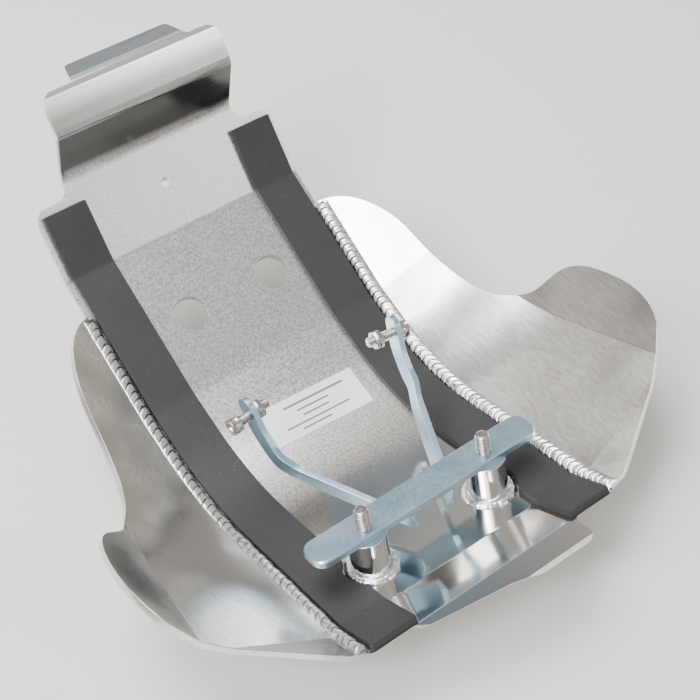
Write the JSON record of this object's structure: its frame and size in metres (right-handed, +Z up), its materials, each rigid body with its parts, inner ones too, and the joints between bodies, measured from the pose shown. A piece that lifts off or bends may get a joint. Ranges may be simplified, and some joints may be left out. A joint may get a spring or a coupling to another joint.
{
  "type": "motorcycle skid plate",
  "caption": "Folded aluminium skid plate for an off-road motorcycle, with flared side wings, a front hook, rubber strips, a clamp bar on spacer tubes and slim mounting arms.",
  "frame": {"origin": "middle of the bounding box in plan, on the floor under the belly", "axes": "+Y towards the front of the motorcycle (the hook), +X its right side, +Z up; the part leans back 21 degrees on its round belly, as it lies on a floor"},
  "size_m": [0.335, 0.3692, 0.1689],
  "materials": {
    "sheet_aluminium": "satin mill finish, lightly scratched",
    "wing_aluminium": "brushed and polished",
    "weld_aluminium": "bright welded ripples",
    "tube_aluminium": "turned, bright",
    "rubber_black": "matt",
    "zinc_plated_steel": "pale blue zinc plating",
    "stainless_screw": "plain",
    "paper_label": "matt white"
  },
  "bodies": {
    "root": {"base_plate": "sheet_aluminium", "rubber_strip_left": "rubber_black", "rubber_strip_right": "rubber_black", "wing_left": "wing_aluminium", "wing_right": "wing_aluminium", "weld_bead_left": "weld_aluminium", "weld_bead_right": "weld_aluminium", "spacer_tube_left": "tube_aluminium", "spacer_tube_right": "tube_aluminium", "tube_weld_left": "weld_aluminium", "tube_weld_right": "weld_aluminium", "clamp_screw_left": "stainless_screw", "clamp_screw_right": "stainless_screw", "clamp_bar": "zinc_plated_steel", "arm_left": "zinc_plated_steel", "arm_right": "zinc_plated_steel", "arm_bolt_left": "stainless_screw", "arm_bolt_right": "stainless_screw", "arm_nut_left": "stainless_screw", "arm_nut_right": "stainless_screw", "label": "paper_label"}
  },
  "joints": []
}
